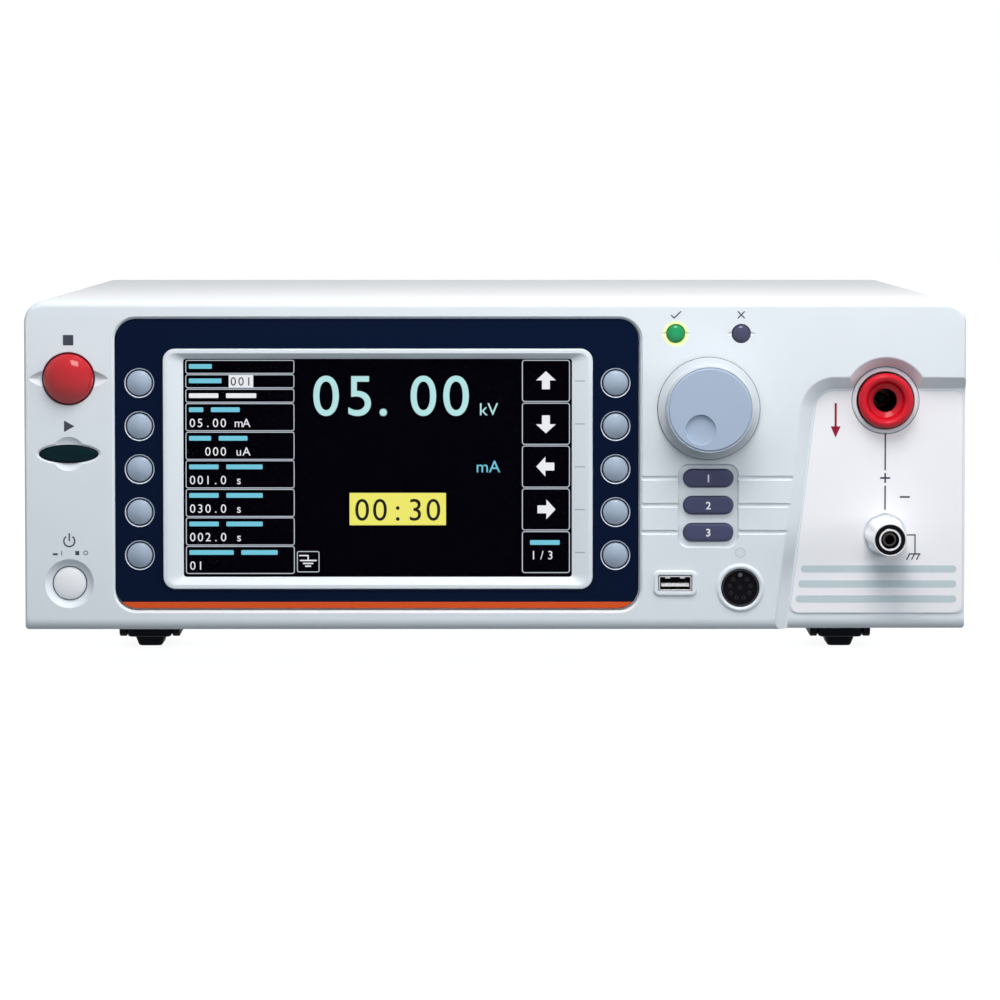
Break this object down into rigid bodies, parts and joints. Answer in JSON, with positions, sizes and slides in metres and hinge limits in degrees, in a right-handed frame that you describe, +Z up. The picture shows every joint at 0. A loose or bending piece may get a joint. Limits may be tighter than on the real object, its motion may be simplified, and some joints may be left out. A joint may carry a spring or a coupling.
{
  "type": "hipot tester",
  "caption": "Bench high-voltage withstand tester in a low steel case, with a screen between softkeys, a knob, test buttons and output sockets on a moulded front.",
  "frame": {"origin": "on the bench, under the middle of the instrument's outer box", "axes": "+X to the right seen from the front, +Y from the front to the back, +Z up"},
  "size_m": [0.38, 0.454, 0.148],
  "materials": {
    "fascia_white": "moulded light-grey plastic with a fine satin grain",
    "cover_paint": "light-grey powder paint on sheet steel",
    "bezel_navy": "dark navy plastic, satin",
    "frame_white": "moulded light-grey plastic with sloped reveals",
    "screen_glass": "clear cover over a dark display",
    "display_metal": "plain metal can of the display module",
    "board_green": "solder-masked circuit board",
    "key_grey": "blue-grey moulded keycap, satin",
    "key_slate": "dark slate keycap, satin",
    "stop_red": "glossy red dome",
    "start_teal": "dark green-blue plastic",
    "power_white": "light-grey plastic cap",
    "lamp_green": "green lens",
    "lamp_slate": "dark unlit lens",
    "knob_grey": "blue-grey moulded knob",
    "shaft_steel": "turned steel",
    "contact_nickel": "nickel-plated brass",
    "moulded_black": "black moulded plastic",
    "socket_red": "red insulating plastic",
    "collar_white": "white insulating plastic",
    "plate_white": "thin painted plate",
    "sheet_steel": "zinc-plated sheet steel",
    "guard_wire": "bright plated wire",
    "lamination": "varnished core with its winding",
    "potting": "black potted block",
    "sink_aluminium": "extruded aluminium",
    "foot_rubber": "black rubber"
  },
  "bodies": {
    "chassis": {"front_fascia": "fascia_white", "top_cover": "cover_paint", "display_bezel": "bezel_navy", "screen_frame": "frame_white", "screen_glass": "screen_glass", "lcd_module": "display_metal", "key_board": "board_green", "button_board": "board_green", "main_board": "board_green", "power_switch": "moulded_black", "pass_lamp": "lamp_green", "fail_lamp": "lamp_slate", "encoder_body": "shaft_steel", "usb_port": "contact_nickel", "remote_socket": "moulded_black", "hv_socket": "socket_red", "hv_contact": "contact_nickel", "return_collar": "collar_white", "return_insulator": "moulded_black", "return_contact": "contact_nickel", "output_plate": "plate_white", "front_frame": "sheet_steel", "base_tray": "sheet_steel", "rear_panel": "sheet_steel", "fan_frame": "moulded_black", "fan_guard": "guard_wire", "mains_inlet": "moulded_black", "serial_port": "contact_nickel", "signal_port": "contact_nickel", "ground_post": "shaft_steel", "power_transformer": "lamination", "hv_module": "potting", "amplifier_heatsink": "sink_aluminium", "foot_front_left": "foot_rubber", "foot_front_right": "foot_rubber", "foot_rear_left": "foot_rubber", "foot_rear_right": "foot_rubber"},
    "softkey_left_1": {"softkey_left_1": "key_grey"},
    "softkey_left_2": {"softkey_left_2": "key_grey"},
    "softkey_left_3": {"softkey_left_3": "key_grey"},
    "softkey_left_4": {"softkey_left_4": "key_grey"},
    "softkey_left_5": {"softkey_left_5": "key_grey"},
    "softkey_right_1": {"softkey_right_1": "key_grey"},
    "softkey_right_2": {"softkey_right_2": "key_grey"},
    "softkey_right_3": {"softkey_right_3": "key_grey"},
    "softkey_right_4": {"softkey_right_4": "key_grey"},
    "softkey_right_5": {"softkey_right_5": "key_grey"},
    "function_key_1": {"function_key_1": "key_slate"},
    "function_key_2": {"function_key_2": "key_slate"},
    "function_key_3": {"function_key_3": "key_slate"},
    "stop_button": {"stop_button": "stop_red"},
    "start_button": {"start_button": "start_teal"},
    "power_button": {"power_button": "power_white"},
    "fan_rotor": {"fan_rotor": "moulded_black"},
    "fuse_drawer": {"fuse_drawer": "moulded_black"},
    "tilt_leg_left": {"tilt_leg_left": "foot_rubber"},
    "tilt_leg_right": {"tilt_leg_right": "foot_rubber"},
    "knob": {"knob": "knob_grey", "encoder_shaft": "shaft_steel"}
  },
  "joints": [
    {"name": "softkey_left_1_press", "type": "slide", "parent": "chassis", "child": "softkey_left_1", "axis": [0, 1, 0], "range_m": [0, 0.0015], "stiffness_N_per_m": 400},
    {"name": "softkey_left_2_press", "type": "slide", "parent": "chassis", "child": "softkey_left_2", "axis": [0, 1, 0], "range_m": [0, 0.0015], "stiffness_N_per_m": 400},
    {"name": "softkey_left_3_press", "type": "slide", "parent": "chassis", "child": "softkey_left_3", "axis": [0, 1, 0], "range_m": [0, 0.0015], "stiffness_N_per_m": 400},
    {"name": "softkey_left_4_press", "type": "slide", "parent": "chassis", "child": "softkey_left_4", "axis": [0, 1, 0], "range_m": [0, 0.0015], "stiffness_N_per_m": 400},
    {"name": "softkey_left_5_press", "type": "slide", "parent": "chassis", "child": "softkey_left_5", "axis": [0, 1, 0], "range_m": [0, 0.0015], "stiffness_N_per_m": 400},
    {"name": "softkey_right_1_press", "type": "slide", "parent": "chassis", "child": "softkey_right_1", "axis": [0, 1, 0], "range_m": [0, 0.0015], "stiffness_N_per_m": 400},
    {"name": "softkey_right_2_press", "type": "slide", "parent": "chassis", "child": "softkey_right_2", "axis": [0, 1, 0], "range_m": [0, 0.0015], "stiffness_N_per_m": 400},
    {"name": "softkey_right_3_press", "type": "slide", "parent": "chassis", "child": "softkey_right_3", "axis": [0, 1, 0], "range_m": [0, 0.0015], "stiffness_N_per_m": 400},
    {"name": "softkey_right_4_press", "type": "slide", "parent": "chassis", "child": "softkey_right_4", "axis": [0, 1, 0], "range_m": [0, 0.0015], "stiffness_N_per_m": 400},
    {"name": "softkey_right_5_press", "type": "slide", "parent": "chassis", "child": "softkey_right_5", "axis": [0, 1, 0], "range_m": [0, 0.0015], "stiffness_N_per_m": 400},
    {"name": "function_key_1_press", "type": "slide", "parent": "chassis", "child": "function_key_1", "axis": [0, 1, 0], "range_m": [0, 0.0015], "stiffness_N_per_m": 400},
    {"name": "function_key_2_press", "type": "slide", "parent": "chassis", "child": "function_key_2", "axis": [0, 1, 0], "range_m": [0, 0.0015], "stiffness_N_per_m": 400},
    {"name": "function_key_3_press", "type": "slide", "parent": "chassis", "child": "function_key_3", "axis": [0, 1, 0], "range_m": [0, 0.0015], "stiffness_N_per_m": 400},
    {"name": "stop_button_press", "type": "slide", "parent": "chassis", "child": "stop_button", "axis": [0, 1, 0], "range_m": [0, 0.003], "stiffness_N_per_m": 500},
    {"name": "start_button_press", "type": "slide", "parent": "chassis", "child": "start_button", "axis": [0, 1, 0], "range_m": [0, 0.003], "stiffness_N_per_m": 500},
    {"name": "power_button_latch", "type": "slide", "parent": "chassis", "child": "power_button", "axis": [0, 1, 0], "range_m": [-0.0035, 0]},
    {"name": "knob_turn", "type": "hinge", "parent": "chassis", "child": "knob", "pos_m": [0.0861, -0.203, 0.1045], "axis": [0, 1, 0], "continuous": true},
    {"name": "fan_spin", "type": "hinge", "parent": "chassis", "child": "fan_rotor", "pos_m": [-0.125, 0.1952, 0.084], "axis": [0, 1, 0], "continuous": true},
    {"name": "fuse_drawer_slide", "type": "slide", "parent": "chassis", "child": "fuse_drawer", "axis": [0, 1, 0], "range_m": [0, 0.012]},
    {"name": "tilt_leg_left_fold", "type": "hinge", "parent": "chassis", "child": "tilt_leg_left", "pos_m": [-0.1454, -0.108, 0.008], "axis": [-1, 0, 0], "range_deg": [0, 80]},
    {"name": "tilt_leg_right_fold", "type": "hinge", "parent": "chassis", "child": "tilt_leg_right", "pos_m": [0.1454, -0.108, 0.008], "axis": [-1, 0, 0], "range_deg": [0, 80]}
  ]
}
